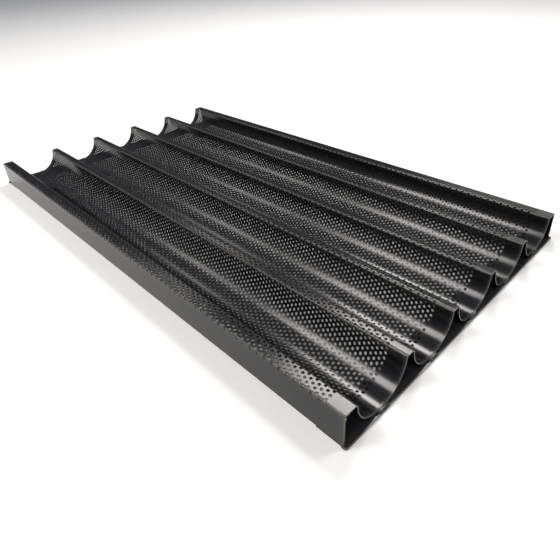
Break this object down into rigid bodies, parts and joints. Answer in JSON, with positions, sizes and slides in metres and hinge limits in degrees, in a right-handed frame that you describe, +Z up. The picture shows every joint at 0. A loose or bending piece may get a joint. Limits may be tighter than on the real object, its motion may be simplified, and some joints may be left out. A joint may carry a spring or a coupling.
{
  "type": "baguette tray",
  "caption": "Perforated corrugated baking tray with parallel round-bottomed troughs, held at each end by a folded bar.",
  "frame": {"origin": "middle of the tray's rest surface, under the middle of its bounding box", "axes": "+X along the troughs, +Y across them, +Z up, out of the troughs' mouths"},
  "size_m": [0.72, 0.4, 0.035],
  "materials": {
    "sheet_coat": "dark semi-gloss non-stick coat on aluminium sheet",
    "bar_coat": "dark satin coat on folded aluminium"
  },
  "bodies": {
    "root": {"corrugated_sheet": "sheet_coat", "end_bar_near": "bar_coat", "end_bar_far": "bar_coat"}
  },
  "joints": []
}
